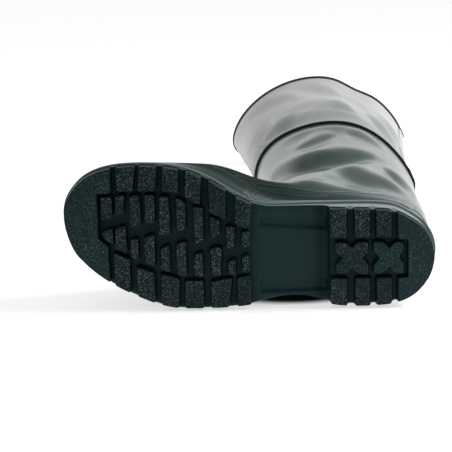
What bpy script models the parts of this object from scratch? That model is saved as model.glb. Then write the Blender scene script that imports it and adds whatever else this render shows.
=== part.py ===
# Hip wader, right boot, EU 41: a moulded boot with a lugged sole and a coated cloth leg,
# lying on its outer side with the sole's edge and the shaft on the floor.
# The boot is worked out in millimetres as (a, m, h): a runs from the heel's back to the toe,
# m from the heel's axis to the inner side, h from the tread up the leg.
# In the shared frame +X runs to the heel, +Y up the leg and +Z to the inner side.
import bpy
import numpy as np
from mathutils.geometry import tessellate_polygon

# Main sizes, millimetres
SOLE_L = 294.5          # outsole, heel back to toe tip
BALL_W = 117.0          # outsole across the ball, in the frame of the heel's axis
HEEL_R = 36.0           # radius of the outline at the heel's back
TOE_R = 41.0            # radius of the outline at the toe tip
HEEL_H = 36.0           # top of the sole's rim at the heel
SPRING_H = 9.0          # lift of the tread at the toe tip
LUG_H = 7.0             # depth of the tread's lugs
ARCH_H = 17.0           # underside of the arch next to the heel's breast
INSTEP_H = 110.0        # top of the instep
SHAFT_H = 380.0         # top of the moulded shaft
LEG_H = 737.4           # top edge of the coated cloth leg
RIM_OUT = 1.2           # rim of the sole beyond the tread's outline
SPUR_OUT = 2.4          # rim's further reach behind the heel
WALL = 2.5              # wall of the moulded upper
CLOTH = 1.2             # wall of the cloth leg
GAP = 0.3               # clearance between neighbouring pieces
COUNTER_STEP = 0.9      # heel counter stands this far out of the upper
COUNTER_H = 112.0       # top of the heel counter
SHAFT_PIPE = 5.4        # height of the piping on the shaft
COLLAR_PIPE = 3.6       # height of the piping on the collar
SHAFT_OUT = 2.6         # the shaft's piping stands this far out of the shaft
COLLAR_OUT = 1.7        # the collar's piping stands this far out of the leg
INSOLE_T = 3.0
STRIP_W = 12.0          # welded strip over the leg's back seam
STRIP_T = 0.9
NUB_T = 2.6             # thickness of the strip's two ends
PANEL_DEEP = 1.2        # recessed panels under the arch
AROUND = 40             # points around the upper and the leg
MM = 0.001

# Sole outline: share of the length, inner and outer half in shares of the ball width
OUTLINE = (
    (.02, .168, .168), (.05, .240, .254), (.10, .308, .317), (.15, .328, .335),
    (.20, .335, .3385), (.25, .338, .334), (.30, .342, .312), (.35, .347, .280),
    (.40, .350, .274), (.45, .357, .289), (.50, .394, .320), (.55, .466, .333),
    (.60, .545, .338), (.65, .602, .3385), (.70, .635, .332), (.75, .650, .301),
    (.80, .653, .252), (.85, .645, .192), (.90, .617, .116), (.95, .550, .010),
    (.98, .466, -.092))
TOE_M = .300            # toe tip lies this share of the ball width to the inner side
# Rim top: share of the length, height in shares of the heel's height
RIM_TOP = ((0, 1.0), (.14, .975), (.28, .82), (.38, .63), (.50, .46), (.60, .415),
           (.70, .412), (.80, .435), (.90, .54), (1.0, .70))
BREAST = .280           # heel's breast, share of the length
ARCH_END = .495
SPRING_START = .735

# Side of the sole, from the groove floor up: outset of each edge in shares of RIM_OUT,
# then its place: for a wall row the share of the way up from the floor to the rim's foot,
# for a rim row the share of RIM_H under the rim's top. The rim has two ribs.
RIM_H = 5.4
SIDE = (("wall", 0.0, 0.0), ("wall", 0.2, 0.35), ("wall", 0.1, 1.0),
        ("rim", 1.0, .96), ("rim", 1.0, .67), ("rim", 0.4, .59),
        ("rim", 0.4, .50), ("rim", 1.0, .42), ("rim", 1.0, .09), ("rim", 0.6, 0.0))

# Lugs of the middle rows, in percent: back and front edge along the sole's length, then
# across it (percent of ball width) the inner lug's two edges and the outer lug's two edges
MIDDLE_LUGS = (
    (87.0, 89.8, 30.0, 44.0, 13.5, 21.0), (83.7, 86.0, 32.5, 45.0, 8.0, 23.0),
    (79.6, 81.9, 25.0, 45.0, 2.0, 15.0), (75.5, 78.0, 27.0, 45.2, -2.0, 17.0),
    (71.6, 73.9, 18.5, 44.0, -6.5, 9.5), (67.2, 69.5, 21.5, 41.5, -9.8, 12.0),
    (62.6, 64.9, 13.0, 36.3, -10.7, 4.3), (58.0, 60.4, 16.8, 28.6, -10.7, 8.0),
    (53.9, 55.9, 8.2, 22.7, -10.3, -0.9), (49.9, 51.9, 9.5, 18.8, -8.6, 2.1))
# Lugs of the side rows: back and front edge, inner end at the back and at the front edge
INNER_LUGS = ((80.9, 85.4, 48.7, 48.7), (75.0, 79.4, 48.7, 48.7), (68.9, 73.0, 47.0, 47.0),
              (63.0, 66.8, 38.5, 44.4), (56.3, 60.4, 28.2, 33.3), (49.6, 53.4, 21.4, 24.8))
OUTER_LUGS = ((82.7, 86.7, 0.9, 5.1), (76.1, 80.5, -8.5, -4.3), (69.4, 74.1, -12.8, -9.4),
              (62.8, 67.6, -14.5, -14.5), (55.4, 60.4, -12.8, -15.4),
              (49.8, 53.2, -12.0, -12.8))
HEEL_LUGS = ((23.7, 28.0), (17.6, 21.4), (11.8, 15.6))
HEEL_LUG_END = 14.5     # inner end of the heel lugs, percent of the ball width
# Cross-shaped lugs in the heel's middle, squares with a notch in each side: corners in
# percent, before the shift along a
CROSS = ((4.1, 10.2), (1.8, 10.2), (0, 5.8), (-1.8, 10.2), (-4.1, 10.2), (-4.1, 4.7),
         (-2.5, 0), (-4.1, -5.0), (-4.1, -10.8), (-1.8, -10.8), (0, -5.9), (1.7, -10.6),
         (4.1, -10.6), (4.1, -5.3), (2.3, -.2), (4.1, 5.0))
CROSS_AT = (22.2, 12.5)
# Recessed arch panels: back and front edge, then across at the back and at the front
PANELS = ((29.0, 47.0, 21.5, 26.5, 29.0, 31.5), (29.0, 47.0, -24.5, -17.0, -24.8, -14.5))

# Rings of the upper, each from its back point to its front point. a in shares of the
# sole's length; heights as levels, 1 the instep and 2 the shaft's top; dip: how much of
# the rim's own curve the ring follows; sole: share of the sole's outline in its form;
# full: width of the whole; waist: bulge over the arch; back_m, front_m: centre line;
# med, lat: halves of the plain oval in shares of the ball width; square: under 1 flattens
# the side on the floor; peak_back, peak_front: over 1 draws that end of the upper side in
UPPER_COLUMNS = ("back_a", "back_v", "front_a", "front_v", "dip", "sole", "full", "waist",
                 "back_m", "front_m", "med", "lat", "square", "peak_back", "peak_front")
UPPER_RINGS = (
    (.008, .330, .991, .232, 1.0, 1.0, .965, .00, 0, .300, .33, .33, 1.0, 1.0, 1.0),
    (-.001, .420, .993, .340, .95, 1.0, .975, .022, 0, .300, .33, .33, 1.0, 1.0, 1.0),
    (-.004, .520, .980, .455, .60, 1.0, .930, .055, 0, .298, .33, .33, 1.0, 1.0, 1.0),
    (-.006, .610, .940, .545, .30, .95, .865, .070, 0, .285, .34, .33, 1.0, 1.0, 1.0),
    (-.008, .700, .867, .605, .10, .80, .830, .073, 0, .240, .35, .33, 1.0, 1.0, 1.0),
    (-.010, .790, .773, .675, 0, .60, .825, .067, 0, .190, .36, .33, 1.0, 1.0, 1.0),
    (-.013, .900, .665, .785, 0, .40, .860, .050, 0, .125, .36, .33, 1.0, 1.0, 1.0),
    (-.017, 1.01, .570, .940, 0, .22, .910, .028, 0, .070, .365, .33, 1.0, 1.0, 1.0),
    (-.021, 1.07, .497, 1.05, 0, .10, .955, .015, -.01, .035, .37, .33, 1.0, 1.0, 1.0),
    (-.026, 1.15, .453, 1.15, 0, .03, 1.0, 0, -.02, .010, .375, .32, .97, 1.05, 1.0),
    (-.030, 1.24, .436, 1.25, 0, 0, 1.0, 0, -.035, -.010, .39, .316, .92, 1.1, 1.0),
    (-.033, 1.39, .428, 1.39, 0, 0, 1.0, 0, -.05, -.030, .42, .301, .85, 1.2, .97),
    (-.038, 1.54, .438, 1.54, 0, 0, 1.0, 0, -.055, -.030, .455, .297, .76, 1.3, .94),
    (-.045, 1.70, .457, 1.70, 0, 0, 1.0, 0, -.06, -.030, .495, .293, .68, 1.4, .91),
    (-.052, 1.87, .477, 1.87, 0, 0, 1.0, 0, -.06, -.030, .530, .293, .62, 1.48, .89),
    (-.058, 2.00, .493, 2.00, 0, 0, 1.0, 0, -.06, -.030, .547, .271, .60, 1.55, .88))
WAIST_AT = .570         # middle of the inner side's bulge over the arch, share of length
WAIST_L = .105          # its half length

# Rings of the cloth leg: share of the way from the shaft's top to the collar, the two
# ends in shares of the sole's length, centre line, halves and forms as above, and the
# dent in the upper side behind its ridge
LEG_COLUMNS = ("at", "back_a", "front_a", "mid", "med", "lat", "square", "peak_back",
               "peak_front", "dent")
LEG_RINGS = (
    (.00, -.052, .485, -.040, .530, .290, .60, 1.55, .88, 0),
    (.05, -.054, .491, -.038, .542, .302, .60, 1.55, .88, 0),
    (.25, -.058, .507, -.036, .535, .312, .62, 1.50, .95, .01),
    (.50, -.074, .533, -.044, .552, .304, .62, 1.48, 1.06, .03),
    (.75, -.096, .567, -.054, .603, .294, .64, 1.46, 1.18, .06),
    (1.0, -.118, .602, -.062, .650, .2724, .66, 1.45, 1.27, .085))
DENT_AT = .27           # middle of the dent, share of the way around the upper side
DENT_W = .10


def curve(rows, column, x):
    """Smooth line through a table's rows, which climb in their first column."""
    rows = np.array(rows, float)
    xs, ys = rows[:, 0], rows[:, column]
    step = np.diff(xs)
    rate = np.diff(ys) / step
    slope = np.concatenate((rate[:1], (rate[1:] * step[:-1] + rate[:-1] * step[1:])
                            / (step[:-1] + step[1:]), rate[-1:]))
    x = np.clip(np.asarray(x, float), xs[0], xs[-1])
    i = np.clip(np.searchsorted(xs, x, side="right") - 1, 0, len(xs) - 2)
    t = (x - xs[i]) / step[i]
    return (ys[i] * (1 + 2 * t) * (1 - t) ** 2 + ys[i + 1] * t * t * (3 - 2 * t)
            + step[i] * (slope[i] * t * (1 - t) ** 2 - slope[i + 1] * t * t * (1 - t)))


def round_of(share):
    """Height of a circle over its diameter, 0 at both ends and 1 in the middle."""
    return 2 * np.sqrt(np.clip(share * (1 - share), 0, None))


def centre(share):
    """Centre line of the sole, bending to the inner side towards the toe."""
    return TOE_M * BALL_W * share ** 2.2


def halves(share):
    """Outline's two halves over the centre line, divided by round_of, from heel to toe."""
    at = np.array([row[0] for row in OUTLINE])
    ends = np.sqrt(np.array([HEEL_R, TOE_R]) * SOLE_L / 2)
    out = []
    for column, side in ((1, 1), (2, -1)):
        width = np.array([row[column] for row in OUTLINE]) * BALL_W - side * centre(at)
        full = np.concatenate((ends[:1], width / round_of(at), ends[1:]))
        table = np.column_stack((np.concatenate(([0], at, [1])), full))
        out.append(curve(table, 1, share))
    return out


def rim_top(a):
    """Height of the sole's upper face over the tread plane."""
    return curve(RIM_TOP, 1, a / SOLE_L) * HEEL_H


def spring(a):
    """Lift of the tread plane towards the toe."""
    share = np.clip((a / SOLE_L - SPRING_START) / (1 - SPRING_START), 0, None)
    return SPRING_H * share ** 1.8


def groove_floor(a):
    """Height of the grooves' floor, and of the arch between breast and forefoot."""
    share = np.asarray(a, float) / SOLE_L
    over = (share - BREAST) / (ARCH_END - BREAST)
    arch = ARCH_H + (LUG_H - ARCH_H) * np.clip(over, 0, 1) ** 0.85
    return np.where(share < BREAST, LUG_H, np.maximum(arch, LUG_H + spring(a)))


def outline(share, side, outset=0.0):
    """Points (a, m) on the sole's outline: m = centre + side * half * round, moved outset
    along the outline's normal."""
    def at(s):
        half = halves(s)[0 if side > 0 else 1]
        return np.stack((s * SOLE_L, centre(s) + side * half * round_of(s)), -1)
    share = np.asarray(share, float)
    angle = np.arccos(1 - 2 * share)
    near = [at((1 - np.cos(np.clip(angle + d, 0, np.pi))) / 2) for d in (-.01, .01)]
    along = near[1] - near[0]
    along /= np.linalg.norm(along, axis=-1, keepdims=True)
    normal = side * np.stack((-along[..., 1], along[..., 0]), -1)
    return at(share) + outset * normal


# Whole object
for item in list(bpy.data.objects):
    bpy.data.objects.remove(item)
whole = bpy.data.collections.new("hip_wader")
cutters = bpy.data.collections.new("cutters")
for group in (whole, cutters):
    bpy.context.scene.collection.children.link(group)


def body(name, points, faces, colour, rough, group=whole):
    """One solid from (a, m, h) points in millimetres, turned to the shared frame's axes;
    the whole is moved to the frame's origin at the end."""
    p = np.asarray(points, float)
    placed = np.column_stack((-p[:, 0], p[:, 2], p[:, 1])) * MM
    mesh = bpy.data.meshes.new(name)
    mesh.from_pydata(placed.tolist(), [], faces)
    mesh.validate()
    obj = bpy.data.objects.new(name, mesh)
    group.objects.link(obj)
    if group is cutters:
        obj.hide_render = True
        obj.display_type = "WIRE"
        return obj
    paint = bpy.data.materials.new(name)
    paint.use_nodes = True
    shader = paint.node_tree.nodes["Principled BSDF"]
    shader.inputs["Base Color"].default_value = (*colour, 1)
    shader.inputs["Roughness"].default_value = rough
    mesh.materials.append(paint)
    return obj


def faces_out(obj):
    """Turns the faces of a closed solid outwards, judged by its volume."""
    mesh = obj.data
    mesh.calc_loop_triangles()
    v = np.array([x.co for x in mesh.vertices])
    t = np.array([x.vertices for x in mesh.loop_triangles])
    if np.einsum("ij,ij->i", v[t[:, 0]], np.cross(v[t[:, 1]], v[t[:, 2]])).sum() < 0:
        mesh.flip_normals()
    return obj


def band_faces(rows, count, first=0, closed=False):
    """Quads between rows of points that each run once around."""
    faces = []
    for j in range(rows if closed else rows - 1):
        for i in range(count):
            k = (i + 1) % count
            low, high = first + j * count, first + (j + 1) % rows * count
            faces.append((low + i, low + k, high + k, high + i))
    return faces


def combine(base, tool, how):
    """Boolean between two solids of this file."""
    step = base.modifiers.new(how.lower(), "BOOLEAN")
    step.operation = how
    step.solver = "EXACT"
    step.object = tool
    return base


# Outsole
SOLE_AT = (0, .004, .015, .035, .065, .10, .14, .19, .235, .2775, .2825, .32, .37, .42,
           .46, .497, .53, .57, .61, .65, .69, .73, .77, .81, .85, .885, .915, .942,
           .965, .983, .995, 1.0)


def lap(outset):
    """Outline points once around: heel, inner side, toe, outer side."""
    inner = outline(SOLE_AT, 1, outset)
    outer = outline(SOLE_AT, -1, outset)
    return np.concatenate((inner, outer[-2:0:-1]))


def cap_faces(count, extra_first, lanes):
    """Faces that close a lap of points, by lanes between its paired inner and outer
    points; the points between the pairs start at extra_first, lanes - 1 for each pair."""
    last = count // 2

    def at(j, lane):
        if j in (0, last) or lane == 0:
            return j
        return count - j if lane == lanes else extra_first + (j - 1) * (lanes - 1) + lane - 1
    faces = []
    for j in range(last):
        for lane in range(lanes):
            corner = [at(j, lane), at(j + 1, lane), at(j + 1, lane + 1), at(j, lane + 1)]
            face = tuple(dict.fromkeys(corner))
            if len(face) > 2:
                faces.append(face)
    return faces


def lanes_between(ring, lanes, height):
    """Points between the paired points of a lap, at the height of their a."""
    last = len(ring) // 2
    out = []
    for j in range(1, last):
        for lane in range(1, lanes):
            p = ring[j] + (ring[len(ring) - j] - ring[j]) * lane / lanes
            out.append((p[0], p[1], float(height(p[0]))))
    return out


def side_row(kind, outset, place):
    """One lap up the sole's side; the rim's rows reach out to a spur behind the heel."""
    plan = lap(outset * RIM_OUT)
    a = np.clip(lap(0.0)[:, 0], 0, SOLE_L)
    low, top = groove_floor(a), rim_top(a)
    if kind == "wall":
        h = low + (top - RIM_H - low) * place
    else:
        h = top - RIM_H * place
        behind = np.clip(1 - a / (.07 * SOLE_L), 0, 1) ** 2
        plan = plan - np.stack((behind * SPUR_OUT * outset, 0 * a), -1)
    return np.column_stack((plan, h))


LANES = 4
rows = [side_row(*row) for row in SIDE]
count = len(rows[0])
points = np.concatenate(rows)
faces = band_faces(len(rows), count)
top_lap = rows[-1]
under_mid = lanes_between(rows[0][:, :2], LANES, groove_floor)
top_mid = lanes_between(top_lap[:, :2], LANES, rim_top)
first_top = (len(rows) - 1) * count
under = [tuple(reversed(f)) for f in cap_faces(count, len(points), LANES)]
top_local = cap_faces(count, count, LANES)
shift = len(points) + len(under_mid)
top = [tuple(first_top + i if i < count else shift + i - count for i in f)
       for f in top_local]
points = np.concatenate((points, under_mid, top_mid))
outsole = faces_out(body("outsole", points, faces + under + top, (.012, .020, .021), .5))


def prism(corners, low, high, draft, store):
    """Block over a plan polygon of (a, m) corners, between two heights of a; its low face
    is drawn in by the draft all round."""
    p = np.array(corners, float)
    area = np.sum(p[:, 0] * np.roll(p[:, 1], -1) - p[:, 1] * np.roll(p[:, 0], -1))
    if area < 0:
        p = p[::-1]
    ahead = np.roll(p, -1, 0) - p
    ahead /= np.linalg.norm(ahead, axis=1, keepdims=True)
    inward = np.stack((-ahead[:, 1], ahead[:, 0]), -1)
    mitre = inward + np.roll(inward, 1, 0)
    mitre /= np.sum(mitre * inward, axis=1, keepdims=True)
    q = p + draft * mitre
    count = len(p)
    first = len(store["points"])
    store["points"] += [(*c, float(low(c[0]))) for c in q]
    store["points"] += [(*c, float(high(c[0]))) for c in p]
    flat = tessellate_polygon([[(c[0], c[1], 0) for c in p]])
    for t in flat:
        u, v, w = (p[i] for i in t)
        if np.cross(v - u, w - u) < 0:
            t = tuple(reversed(t))
        store["faces"].append(tuple(first + i for i in reversed(t)))
        store["faces"].append(tuple(first + count + i for i in t))
    for i in range(count):
        k = (i + 1) % count
        store["faces"].append((first + i, first + k, first + count + k, first + count + i))


def tread(a):
    return spring(a)


def root(a):
    return groove_floor(a) + 1.5


def percent(a, m):
    return a * SOLE_L / 100, m * BALL_W / 100


EDGE_IN = 0.5           # lugs at the sole's edge start this far inside the outline
DRAFT = 0.7             # lugs draw in by this much from root to face
lug = {"points": [], "faces": []}
for back, front, low_in, high_in, low_out, high_out in MIDDLE_LUGS:
    for low, high in ((low_in, high_in), (low_out, high_out)):
        prism([percent(back, low), percent(front, low - 1), percent(front, high - 1),
               percent(back, high)], tread, root, DRAFT, lug)
for table, side in ((INNER_LUGS, 1), (OUTER_LUGS, -1)):
    for back, front, end_back, end_front in table:
        outer = outline(np.array([front, (back + front) / 2, back]) / 100, side, -EDGE_IN)
        prism([percent(back, end_back), percent(front, end_front), *outer],
              tread, root, DRAFT, lug)
for back, front in HEEL_LUGS:
    for side in (1, -1):
        outer = outline(np.array([front, (back + front) / 2, back]) / 100, side, -EDGE_IN)
        prism([percent(back, side * HEEL_LUG_END), percent(front, side * HEEL_LUG_END),
               *outer], tread, root, DRAFT, lug)
for at in CROSS_AT:
    prism([percent(at + da, m) for da, m in CROSS], tread, root, DRAFT, lug)
toe_in = outline([.876, .90, .93, .96, .985, 1.0], 1, -EDGE_IN)
toe_out = outline([.985, .96, .93, .905, .884], -1, -EDGE_IN)
prism([*toe_in, *toe_out, percent(88.6, 10.3), percent(91.1, 15.4), percent(91.1, 47.0),
       percent(87.4, 47.0)], tread, root, DRAFT, lug)
heel_in = outline([.096, .065, .035, .012, 0.0], 1, -EDGE_IN)
heel_out = outline([.012, .035, .065, .099], -1, -EDGE_IN)
prism([*heel_in, *heel_out, percent(9.9, -14.5), percent(7.0, -14.5), percent(7.0, 13.0),
       percent(9.6, 13.7)], tread, root, DRAFT, lug)
lugs = faces_out(body("lugs", lug["points"], lug["faces"], None, None, cutters))
combine(outsole, lugs, "UNION")
hollow = {"points": [], "faces": []}
for back, front, low_b, high_b, low_f, high_f in PANELS:
    prism([percent(back, low_b), percent(front, low_f), percent(front, high_f),
           percent(back, high_b)], lambda a: groove_floor(a) - 3,
          lambda a: groove_floor(a) + PANEL_DEEP, 0, hollow)
panels = faces_out(body("arch_panels", hollow["points"], hollow["faces"], None, None,
                        cutters))
combine(outsole, panels, "DIFFERENCE")


# Upper
def column(rows, names, name, level):
    """One column of a ring table at a level between its rows."""
    table = [(k, row[names.index(name)]) for k, row in enumerate(rows)]
    return curve(table, 1, level)


def height_of(v):
    """Height of a level: 1 is the instep, 2 the shaft's top."""
    return v * INSTEP_H if v < 1 else INSTEP_H + (v - 1) * (SHAFT_H - INSTEP_H)


def upper_ring(level, phi):
    """One ring (a, m, h) of the upper's outer face: a = back + (front - back) * share with
    share = (1 - cos phi) / 2; h runs straight between the two ends, plus the dip of the
    rim; m = centre line + full * (sole * outline half + (1 - sole) * oval half)."""
    def col(name):
        return float(column(UPPER_RINGS, UPPER_COLUMNS, name, level))
    share = (1 - np.cos(phi)) / 2
    a = SOLE_L * (col("back_a") + (col("front_a") - col("back_a")) * share)
    ends = [float(curve([(k, height_of(row[n])) for k, row in enumerate(UPPER_RINGS)],
                        1, level)) for n in (1, 3)]
    foot = UPPER_RINGS[0]
    foot_a = SOLE_L * (foot[0] + (foot[2] - foot[0]) * share)
    line = INSTEP_H * (foot[1] + (foot[3] - foot[1]) * share)
    h = ends[0] + (ends[1] - ends[0]) * share + col("dip") * (rim_top(foot_a) + GAP - line)
    mid = BALL_W * (col("back_m") + (col("front_m") - col("back_m")) * share ** 2.2)
    inner, outer = halves(share)
    wave = np.abs(np.sin(phi))
    peak = col("peak_back") + (col("peak_front") - col("peak_back")) * share ** 2 * (
        3 - 2 * share)
    oval_in = BALL_W * col("med") * wave ** peak
    oval_out = BALL_W * col("lat") * wave ** col("square")
    mix = col("sole")
    half = np.where(phi < np.pi, mix * inner * wave + (1 - mix) * oval_in,
                    -(mix * outer * wave + (1 - mix) * oval_out))
    bulge = np.where(phi < np.pi, BALL_W * col("waist") * np.exp(
        -((a / SOLE_L - WAIST_AT) / WAIST_L) ** 2), 0)
    return np.column_stack((a, mid + col("full") * half + bulge * wave ** .5, h))


def grid_normals(grid):
    """Outward unit normals of a grid of rings."""
    around = np.roll(grid, -1, 1) - np.roll(grid, 1, 1)
    up = np.gradient(grid, axis=0)
    n = np.cross(up, around)
    n /= np.linalg.norm(n, axis=2, keepdims=True)
    middle = grid.mean(axis=1, keepdims=True)
    if np.sum(n * (grid - middle)) < 0:
        n = -n
    return n


def shell(name, grid, wall, colour, rough, foot=None):
    """Closed wall between a grid of rings and its own offset inwards."""
    inner = grid - wall * grid_normals(grid)
    inner[-1, :, 2] = grid[-1, :, 2]
    inner[0, :, 2] = grid[0, :, 2] if foot is None else foot(inner[0, :, 0])
    rows, count = grid.shape[:2]
    points = np.concatenate((grid.reshape(-1, 3), inner[::-1].reshape(-1, 3)))
    return faces_out(body(name, points, band_faces(2 * rows, count, closed=True),
                          colour, rough))


def seat(a):
    """Height of what stands on the sole, one clearance over it."""
    return rim_top(np.clip(a, 0, SOLE_L)) + GAP


phi = np.arange(AROUND) * 2 * np.pi / AROUND
LEVELS = (0, .5, 1, 1.5, 2, 2.5, 3, 3.5, 4, 4.6, 5.2, 6, 6.8, 7.5, 8.2, 9, 10, 11, 12,
          13, 14, 15)
grid = np.array([upper_ring(k, phi) for k in LEVELS])
# Heel counter as a step in the wall, its edge sloping from the back down to the rim
reach = np.clip((COUNTER_H - grid[..., 2]) / (COUNTER_H - HEEL_H), 0, 1) ** .5 * 16
inside = np.clip((reach + 2 - grid[..., 0]) / 2, 0, 1) * (grid[..., 2] < COUNTER_H)
grid[1:] += COUNTER_STEP * inside[1:, :, None] * grid_normals(grid)[1:]
grid[0, :, 2] = seat(grid[0, :, 0])
upper = shell("upper", grid, WALL, (.030, .050, .048), .35, foot=seat)
top_ring = grid[-1]


# Insole
def insole_row(inset, lift):
    """One lap of the insole, drawn in from the upper's lowest inner edge."""
    ring = grid[0, :, :2]
    ahead = np.roll(ring, -1, 0) - np.roll(ring, 1, 0)
    ahead /= np.linalg.norm(ahead, axis=1, keepdims=True)
    out = np.stack((ahead[:, 1], -ahead[:, 0]), -1)
    if np.sum(out * (ring - ring.mean(0))) < 0:
        out = -out
    plan = ring - out * (WALL + inset)
    return np.column_stack((plan, seat(plan[:, 0]) + lift))


insole_rows = [insole_row(3 * GAP, 0), insole_row(3 * GAP, INSOLE_T)]
points = np.concatenate(insole_rows)
low_mid = lanes_between(insole_rows[0][:, :2], 2, seat)
high_mid = lanes_between(insole_rows[1][:, :2], 2, lambda a: seat(a) + INSOLE_T)
low_cap = [tuple(reversed(f)) for f in cap_faces(AROUND, len(points), 2)]
start = len(points) + len(low_mid)
high_cap = [tuple(AROUND + i if i < AROUND else start + i - AROUND for i in f)
            for f in cap_faces(AROUND, AROUND, 2)]
points = np.concatenate((points, low_mid, high_mid))
insole = faces_out(body("insole", points, band_faces(2, AROUND) + low_cap + high_cap,
                        (.10, .10, .095), .9))


# Piping on the shaft
def moved(ring, out):
    """A flat ring moved along its own normal in its plane."""
    flat = ring[:, :2]
    ahead = np.roll(flat, -1, 0) - np.roll(flat, 1, 0)
    ahead /= np.linalg.norm(ahead, axis=1, keepdims=True)
    side = np.stack((ahead[:, 1], -ahead[:, 0]), -1)
    if np.sum(side * (flat - flat.mean(0))) < 0:
        side = -side
    return np.column_stack((flat + out * side, ring[:, 2]))


def piping(name, ring, inner, outer, low, tall):
    """Rounded band between two offsets of a ring, from the height low upwards."""
    mid, half = (inner + outer) / 2, (outer - inner) / 2
    profile = ((-1, .12), (-.55, 0), (.45, 0), (1, .28), (1, .72), (.45, 1), (-.55, 1),
               (-1, .88))
    laps = []
    for side, up in profile:
        lap_row = moved(ring, mid + side * half)
        lap_row[:, 2] = low + up * tall
        laps.append(lap_row)
    return faces_out(body(name, np.concatenate(laps),
                          band_faces(len(laps), AROUND, closed=True),
                          (.006, .007, .007), .45))


shaft_piping = piping("shaft_piping", top_ring, -WALL, SHAFT_OUT, SHAFT_H + GAP, SHAFT_PIPE)


# Cloth leg
def leg_ring(at, phi):
    """One ring of the leg's outer face at a share of its height over the shaft."""
    def col(name):
        return float(curve(LEG_RINGS, LEG_COLUMNS.index(name), at))
    share = (1 - np.cos(phi)) / 2
    a = SOLE_L * (col("back_a") + (col("front_a") - col("back_a")) * share)
    wave = np.abs(np.sin(phi))
    peak = col("peak_back") + (col("peak_front") - col("peak_back")) * share ** 2 * (
        3 - 2 * share)
    dent = 1 - col("dent") * np.exp(-((share - DENT_AT) / DENT_W) ** 2)
    half = np.where(phi < np.pi, col("med") * wave ** peak * dent,
                    -col("lat") * wave ** col("square"))
    h = np.full_like(a, SHAFT_H + at * (LEG_H - SHAFT_H))
    return np.column_stack((a, BALL_W * (col("mid") + half), h))


CLEAR = SHAFT_H + SHAFT_PIPE + 3 * GAP
leg_rows = []
for level in (14.6, 14.9):
    leg_rows.append(moved(upper_ring(level, phi), -(WALL + 2 * GAP)))
row = moved(top_ring, -(WALL + 2 * GAP))
row[:, 2] = CLEAR
leg_rows.append(row)
for at in (.04, .10, .20, .32, .44, .56, .68, .80, .90, 1.0):
    leg_rows.append(leg_ring(at, phi))
leg_grid = np.array(leg_rows)
leg = shell("thigh_leg", leg_grid, CLOTH, (.32, .34, .335), .6)

# Piping on the collar
collar_piping = piping("collar_piping", leg_grid[-1], -CLOTH - .6, COLLAR_OUT,
                       LEG_H + GAP, COLLAR_PIPE)

# Strip over the back seam, on the cloth from piping to piping with thicker ends
strip_at = (.052, .062, .066, .12, .25, .40, .55, .70, .85, .955, .960, .985)
under_rows, over_rows = [], []
for j, at in enumerate(strip_at):
    med, peak = (float(curve(LEG_RINGS, LEG_COLUMNS.index(n), at)) for n in ("med", "peak_back"))
    turn = np.arcsin((np.linspace(0, STRIP_W, 4) / (med * BALL_W)) ** (1 / peak))
    line = leg_ring(at, turn)
    # The distance to the cloth is taken straight backwards, where the cloth is steepest
    thick = NUB_T if j < 2 or j > len(strip_at) - 3 else STRIP_T
    under_rows.append(line - np.array([GAP + .25, 0, 0]))
    over_rows.append(line - np.array([GAP + .25 + thick, 0, 0]))
under_grid, over_grid = np.array(under_rows), np.array(over_rows)
rows, across = under_grid.shape[:2]
loops = np.concatenate((under_grid, over_grid[:, ::-1]), axis=1)
count = 2 * across
faces = band_faces(rows, count)
faces += [tuple(range(count - 1, -1, -1)), tuple(range((rows - 1) * count, rows * count))]
strip = faces_out(body("seam_strip", loops.reshape(-1, 3), faces, (.25, .27, .265), .6))

# The shared frame's origin: the middle of the whole's box, at the height of the floor
corners = np.array([v.co for obj in (*whole.objects, lugs) for v in obj.data.vertices])
low, high = corners.min(axis=0), corners.max(axis=0)
for obj in (*whole.objects, *cutters.objects):
    for v in obj.data.vertices:
        v.co.x -= (low[0] + high[0]) / 2
        v.co.y -= (low[1] + high[1]) / 2
        v.co.z -= low[2]
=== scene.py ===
"""Looks of the hip wader: a right boot of dark green moulded PVC with a lugged rubber sole
and a leg of pale coated cloth, lying on its outer side on a white sweep.
Boot coordinates are millimetres (a, m, h): a from the heel's back to the toe, m from the
heel's axis to the inner side, h from the tread up the leg."""
import bpy
import numpy as np
from mathutils import Matrix, Vector
from mathutils.geometry import delaunay_2d_cdt


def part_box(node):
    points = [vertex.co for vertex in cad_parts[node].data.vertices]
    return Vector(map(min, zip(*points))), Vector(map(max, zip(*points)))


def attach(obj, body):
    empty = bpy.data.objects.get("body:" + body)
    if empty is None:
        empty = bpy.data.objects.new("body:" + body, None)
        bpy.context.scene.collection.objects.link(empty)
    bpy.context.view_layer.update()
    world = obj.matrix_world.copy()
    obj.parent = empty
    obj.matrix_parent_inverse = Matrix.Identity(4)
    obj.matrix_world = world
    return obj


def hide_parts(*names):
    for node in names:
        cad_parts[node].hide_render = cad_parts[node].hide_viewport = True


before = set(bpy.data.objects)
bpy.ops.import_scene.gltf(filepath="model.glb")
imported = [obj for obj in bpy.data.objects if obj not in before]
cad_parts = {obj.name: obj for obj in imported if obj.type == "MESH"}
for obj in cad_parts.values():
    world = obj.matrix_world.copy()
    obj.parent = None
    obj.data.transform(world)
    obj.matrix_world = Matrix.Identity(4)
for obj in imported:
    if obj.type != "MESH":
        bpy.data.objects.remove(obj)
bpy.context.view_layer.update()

scene = bpy.context.scene

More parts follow.
